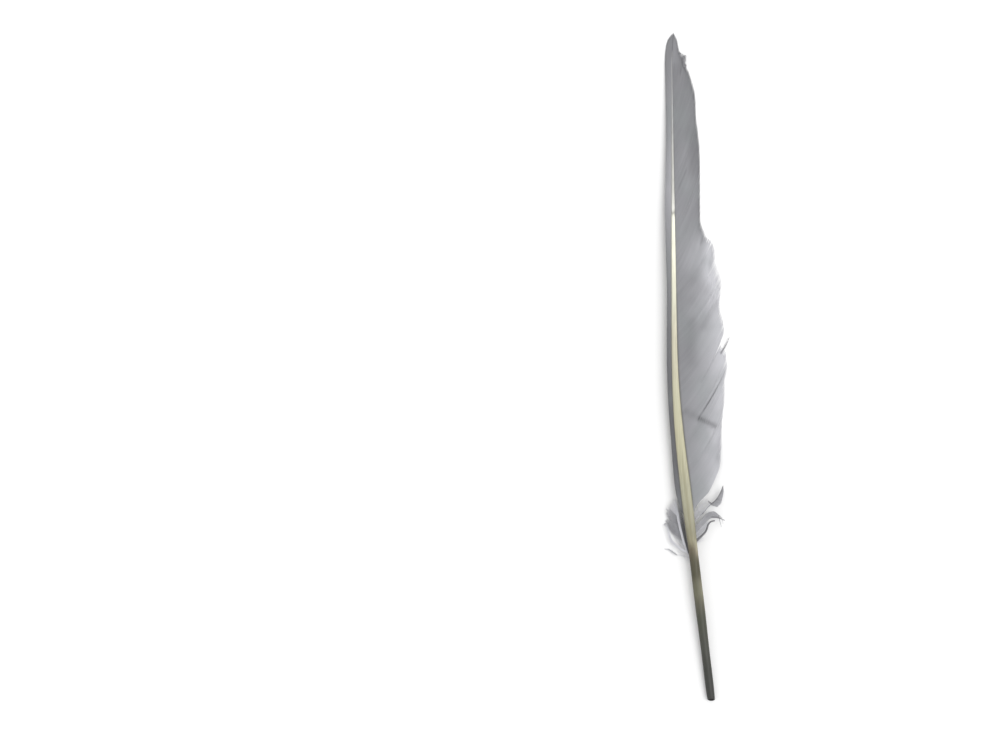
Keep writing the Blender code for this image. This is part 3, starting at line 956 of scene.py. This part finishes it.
# %% Down on the leading side
# Each lock: its first and last line, how many stems and barbules a side, the barbules' reach, how much
# darker it is, their width, how loosely it lies, its shortest stem's share and the rings on a stem
LEADING_LOCKS = [
    # the grey body
    ([(80, -2.6, 4.2), (83.8, -6, 3.4), (87, -9.3, 2)],
     [(70, -2.3, 3.8), (74, -6.5, 2.2), (79.5, -11.6, 0.5)],
     24, 34, 1.5, 0.26, 0.13, 0.35, 0.7),
    # the flick
    ([(79, -2, 4.6), (85, -4.6, 4.3), (91, -4.8, 3.4)],
     [(78, -2, 4.6), (83.5, -5.6, 3.8), (87.2, -9.2, 2.4)],
     16, 44, 0.4, -0.12, 0.12, 0.04, 0.965),
    # the pale band
    ([(66, -2, 3.4), (70, -3, 3.9), (77, -4, 4.4), (84, -4.5, 4.6), (90.3, -4.7, 4.5)],
     [(65.5, -2.3, 3.2), (70, -3.9, 3.6), (77, -5, 4.1), (83.5, -5.6, 4.3), (89.6, -5.6, 4.2)],
     7, 70, 0.45, -0.15, 0.12, 0.06, 0.75, 24),
    # the dark strip along the shaft: the vane's dark foot, with painted shade beside the shaft
    ([(68, -2, 4.2), (76, -2.5, 4.9), (84, -2.9, 5.4), (92, -3.5, 5.6)],
     [(66, -2.3, 4), (74, -3.4, 4.6), (82, -4.2, 5), (89.5, -4.8, 5.2)],
     6, 50, 0.3, 0.85, 0.12, 0.03, 0.9, 24),
    # the white curl
    ([(67.5, -3, 3.4), (70, -6.6, 2.8), (72.5, -8.9, 2.4), (75.5, -9.5, 2.4), (78.2, -9.9, 2.4),
      (79.7, -11, 2.2), (79.4, -12.3, 1.8)],
     [(66.5, -3, 3.2), (69, -7, 2.6), (72, -9.8, 2.2), (75.5, -10.4, 2.2), (77.8, -10.8, 2.2),
      (78.6, -11.4, 2), (78.7, -12.3, 1.7)],
     7, 46, 0.5, -0.4, 0.1, 0.05, 0.93, 28),
    # single filaments at the foot
    ([(70, -2.2, 3.8), (72, -5, 2.8), (74.5, -8, 1.2)],
     [(62.5, -1.9, 3.2), (64, -4, 2.2), (66.5, -6.8, 0.7)],
     9, 24, 0.9, -0.4, 0.04, 0.45, 0.5),
    # the wisp
    ([(65.8, -7.4, 1.9), (67.2, -9.2, 1.6), (68.3, -10.8, 1.2), (68.7, -12.7, 0.9)],
     [(65.4, -7.4, 1.9), (66.7, -9.3, 1.5), (67.8, -11, 1.1), (68.1, -12.7, 0.9)],
     3, 26, 0.6, 0.14, 0.08, 0.12, 0.8),
    # two pale stems
    ([(68, -1.8, 4.2), (71.5, -5.4, 3.4), (74.4, -8.2, 2.2)],
     [(67.6, -1.8, 4.2), (71, -5.4, 3.4), (73.9, -8.4, 2.2)],
     2, 26, 0.5, -0.1, 0.06, 0.05),
    ([(64.6, -2.1, 3.4), (65.4, -5, 2.6), (65.9, -8, 1.9)],
     [(64.2, -2.1, 3.4), (65, -5, 2.6), (65.5, -8, 1.9)],
     2, 22, 0.4, -0.1, 0.05, 0.05, 0.9),
]
dice = np.random.default_rng(21)
leading_locks = [shape for given in LEADING_LOCKS for shape in lock(dice, *given)]
leading_down = new_piece("leading_down_locks", joined(leading_locks), down)

# %% [markdown]
# On the trailing side there is little down: a few pale, nearly parallel barbs between the vane's foot and
# the loose barbs, so thin that the table shows between them.

# %% Down on the trailing side
TRAILING_LOCKS = [
    ([(83, 1.9, 4.6), (87.5, 5.4, 3.9), (91.6, 9.8, 2.2)],
     [(81, 1.9, 4.6), (84.9, 5.6, 3.7), (88.7, 9.9, 2)],
     9, 36, 0.55, -0.1, 0.06, 0.12),
    ([(83.5, 2.1, 4.6), (89, 5.6, 3.6), (94, 9.4, 1.8)], [(83, 2.1, 4.6), (88, 5.8, 3.4), (91.5, 9.6, 1.6)],
     3, 30, 0.5, -0.3, 0.04, 0.15),
    ([(77, 1.8, 4.4), (79, 4.5, 3.4), (80.5, 7, 2.2)], [(70.5, 1.8, 3.8), (72, 3.4, 3), (73.4, 5.4, 2)],
     8, 26, 0.7, 0, 0.05, 0.2, 0.6),
]
dice = np.random.default_rng(22)
trailing_locks = [shape for given in TRAILING_LOCKS for shape in lock(dice, *given)]
trailing_down = new_piece("trailing_down_locks", joined(trailing_locks), down)

# %% [markdown]
# ### Loose barbs
# Two bunches of barbs have unzipped from the foot of the trailing vane. A loose barb keeps its web: its
# barbules still lie side by side from the stem to an edge. So its web is woven between two lines, each
# barbule from a share along the stem to a share a little further along the edge, and the barbules are wide
# enough to overlap.

# %% A web between a stem and an edge
BARE_STEPS, WEB_ROWS, WEB_RISE = 24, 4, 0.3


def woven(dice, stem, edge, count, advance, width, shade, edge_shade):
    """Barbules in straight lines from the stem at a share to the edge at that share moved on, with a slight
    rise between, and random lengths."""
    starts = np.linspace(0, 1, count)
    base, end = line_through(stem, starts), line_through(edge, advance + (1 - advance) * starts)
    outs = np.linspace(0, 1, BARBULE_STEPS + 1)
    run = outs[None, :, None] * dice.uniform(0.9, 1.03, (count, 1, 1))
    points = base[:, None] * (1 - run) + end[:, None] * run
    points[..., 2] += WEB_RISE * np.sin(np.pi * run[..., 0]) + dice.normal(0, 0.03, (count, 1))
    widths = width * (1 - 0.5 * outs**2) * np.ones((count, 1))
    shades = shade + (edge_shade - shade) * outs
    number = starts + dice.uniform(0, 0.02, count)
    return strands(on_feather(points), widths, widths * 0.4, UP, number, outs, shades, WEB_ROWS)


def one_stem(dice, places, width, shade, taper=0.5):
    """A single bare stem along a line."""
    line = on_feather(line_through(places, np.linspace(0, 1, BARE_STEPS)))
    return stem_strands(dice, line[None], width, shade, taper)


# %% [markdown]
# The upper bunch is a bare barb, thin at its root, that carries a leaf of web at its end. A faint web hangs
# along its low half, and a bit of broken barb sticks out where the leaf begins.

# %% The upper bunch
dice = np.random.default_rng(23)
UPPER_STEM = [
    (80.6, 2, 5.4), (84.1, 6, 5.5), (88.3, 10.3, 4.9), (90, 12.6, 4.4), (92.7, 14.8, 3.8),
    (96.6, 16.9, 3.3),
]
LEAF_EDGE = [
    (87.9, 10.9, 4.6), (87.3, 12.2, 4.2), (87.2, 13.2, 4), (87.9, 14.2, 3.9), (89, 15.2, 3.8),
    (90.6, 15.9, 3.7), (92.7, 16.65, 3.5), (94.9, 17.05, 3.4), (96.8, 17.05, 3.3),
]
LOW_EDGE = [(81.2, 2, 5.2), (85.2, 6, 5.2), (89.2, 10.1, 4.7)]
TWIG, TWIG_EDGE = [(88.3, 10.3, 4.9), (88.8, 11, 4.8)], [(89.9, 9.3, 4.8), (90.1, 9.5, 4.8)]
upper_barb = new_piece("upper_loose_web", joined([
    one_stem(dice, UPPER_STEM[:3], 0.3, 0.08, 0.1),
    one_stem(dice, UPPER_STEM[1:], 0.62, 0.38, 0.75),
    woven(dice, [(88.2, 10.3, 4.9), *UPPER_STEM[3:]], LEAF_EDGE, 110, 0.2, 0.2, 0.12, 0),
    woven(dice, UPPER_STEM[:3], LOW_EDGE, 70, 0.1, 0.13, -0.1, -0.4),
    woven(dice, TWIG, TWIG_EDGE, 8, 0, 0.14, 0.2, 0.2),
]), loose_web)

# %% [markdown]
# The lower bunch is two soft locks, one above the other, each with a dark bare barb along its edge, and a
# few hairs that have come off it.

# %% The lower bunch
dice = np.random.default_rng(24)
lower_barb = new_piece("lower_loose_web", joined([
    # the upper lock
    *lock(dice, [(78.2, 1.9, 5.4), (81.2, 5.2, 5.4), (84.8, 9, 4.7), (85.2, 11.6, 4.1), (83.4, 13.7, 3.7),
                 (82, 15.3, 3.5)],
          [(75.2, 1.9, 5.1), (78.6, 5.4, 5.2), (81.7, 8.9, 4.8), (82.6, 11.4, 4.3), (82.2, 13.6, 3.8),
           (81.8, 15.2, 3.4)],
          14, 60, 0.6, -0.02, 0.12, 0.05, 0.84, 20),
    # the lower lock
    *lock(dice, [(75.8, 1.9, 5.1), (79, 5.2, 5.2), (81.2, 8.4, 4.8)],
          [(72.6, 2, 4.8), (74.6, 4.3, 5), (77.2, 6.8, 4.9), (80.3, 8.9, 4.6)],
          7, 50, 0.7, -0.25, 0.11, 0.05, 0.85),
    # the dark barbs along their edges
    one_stem(dice, [(72.1, 2.05, 4.8), (74.1, 4.5, 5), (76.7, 7, 5), (79.3, 8.2, 4.8), (80.6, 9.5, 4.6),
                    (81.1, 11.4, 4.4)], 1.15, 0.34, 0.45),
    one_stem(dice, [(82.6, 9.9, 4.6), (82.5, 12.3, 4.3), (81.8, 14.4, 3.8), (81.2, 15.9, 3.4)],
             0.65, 0.25, 0.6),
    # hairs
    one_stem(dice, [(83, 13.3, 3.7), (80.4, 13.7, 3.3), (78.2, 14, 3)], 0.3, 0.12),
    one_stem(dice, [(82.4, 14.3, 3.6), (80.9, 14.9, 3.3), (79.6, 14.9, 3.1)], 0.2, 0.05),
    *lock(dice, [(73, 2.6, 4.7), (73.4, 4.4, 4.4), (74, 6.5, 4)],
          [(71.4, 2.2, 4.5), (71.2, 3.4, 4.2), (71.6, 5, 3.8)],
          5, 16, 0.4, -0.4, 0.04, 0.3),
]), loose_web)

# %% [markdown]
# Near the tip a few worn barbs have curled over at the trailing margin, and lower down one bunch of barb
# ends sticks out past the margin. Each curl is an arc that tightens like a watch spring.

# %% Curled and stray barbs
CURLS, CURL_SPAN, CURL_HEIGHT = 36, (284.8, 290.7), 0.45
CURL_MARGIN = [(284, 5.7), (286, 5.4), (288.5, 5.4), (291.5, 4.2)]


def curls(dice, places, radius, turns):
    """Arcs from places on the margin: round and forwards by an angle that grows evenly, with a radius that
    shrinks by half."""
    count = len(places)
    share = np.linspace(0, 1, STEM_STEPS)[None, :]
    angle = 2 * np.pi * share * dice.uniform(*turns, count)[:, None]
    size = dice.uniform(*radius, count)[:, None] * (1 - 0.5 * share)
    along = places[:, :1] + size * np.sin(angle)
    hand = dice.choice([1, -1], (count, 1), p=[0.7, 0.3])
    across = places[:, 1:2] + hand * size * (1 - np.cos(angle))
    height = places[:, 2:] + 0.3 * np.sin(np.pi * share)
    return on_feather(np.stack([along, across, height], -1))


dice = np.random.default_rng(25)
spots = np.sort(dice.uniform(*CURL_SPAN, CURLS))
margin = through(CURL_MARGIN, spots) + dice.uniform(-0.5, 0.3, CURLS)
bent = curls(dice, np.stack([spots, margin, np.full(CURLS, CURL_HEIGHT)], -1), (0.35, 0.9), (0.3, 0.75))
curled_barbs = new_piece("curled_tip_barb_ends", joined([
    stem_strands(dice, bent, 0.3, 0.2), barbule_strands(dice, bent, 12, 0.32, 0.08, 0.14),
]), loose_web)

stray_barb = new_piece("stray_barb_ends", joined(lock(
    dice, [(156.4, 20.7, 0.35), (160.1, 23, 0.8), (164.2, 24.8, 1.4)],
    [(155.9, 20.9, 0.35), (159.5, 23.3, 0.8), (163.5, 25.1, 1.4)],
    4, 34, 0.3, -0.02, 0.06, 0.1, 0.8,
)), loose_web)

# %% [markdown]
# ## The stage
# The feather lies on a plain white table under soft studio light. The main light is as wide as a big window
# high to its right, so that its shadow falls softly and close by on the left, and a white surround fills
# the shadows in. The camera looks straight down on it.

# %% Table, lights and camera
TABLE_SIZE = 6.0
CAMERA_X, CAMERA_Y, CAMERA_HEIGHT = -0.0883, -0.0035, 4.995
LENS = 400
KEY_TILT, KEY_WIDTH, KEY_STRENGTH, SURROUND = 0.44, 0.7, 1.3, 0.9


def window_light(tilt, width, strength):
    """A far light tilted over to the right, as wide in the sky as the given angle in radians."""
    light = bpy.data.lights.new("key_light", "SUN")
    light.energy, light.angle = strength, width
    made = bpy.data.objects.new("key_light", light)
    made.rotation_euler = (0, tilt, 0)
    bpy.context.scene.collection.objects.link(made)


def make_table():
    half = TABLE_SIZE / 2
    mesh = bpy.data.meshes.new("table")
    corners = [(-half, -half, 0), (half, -half, 0), (half, half, 0), (-half, half, 0)]
    mesh.from_pydata(corners, [], [(0, 1, 2, 3)])
    finish = Finish("white_table")
    mesh.materials.append(finish.wear(Base_Color=(0.86, 0.86, 0.86, 1), Roughness=0.8))
    made = bpy.data.objects.new("table", mesh)
    bpy.context.scene.collection.objects.link(made)
    return made


make_table()
window_light(KEY_TILT, KEY_WIDTH, KEY_STRENGTH)
world = bpy.data.worlds.new("surround")
world.use_nodes = True
world.node_tree.nodes["Background"].inputs[0].default_value = (1, 1, 1, 1)
world.node_tree.nodes["Background"].inputs[1].default_value = SURROUND
scene = bpy.context.scene
scene.world = world
scene.view_settings.view_transform = "Standard"

camera_data = bpy.data.cameras.new("camera")
camera_data.lens = LENS
camera = bpy.data.objects.new("camera", camera_data)
camera.location = (CAMERA_X, CAMERA_Y, CAMERA_HEIGHT)
scene.collection.objects.link(camera)
scene.camera = camera

# %% [markdown]
# ## The pieces and the model
# Each piece stands for a part of the measured model, whose own mesh is hidden, and rides on its body. The
# measured box is printed at the end.

# %% Tie the pieces to the model
STANDS_FOR = [
    (shaft, "horn", ["shaft"]),
    (trailing_vane, "web", ["trailing_vane"]),
    (leading_vane, "web", ["leading_vane"]),
    (trailing_down, "down", ["trailing_down"]),
    (leading_down, "down", ["leading_down"]),
    (upper_barb, "web", ["upper_loose_barb"]),
    (lower_barb, "web", ["lower_loose_barb"]),
    (curled_barbs, "web", ["curled_tip_barbs"]),
    (stray_barb, "web", ["stray_edge_barb"]),
]
for piece, finish_slot, nodes in STANDS_FOR:
    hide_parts(*nodes)
    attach(piece, "root")

print("measured box:", measured_box)
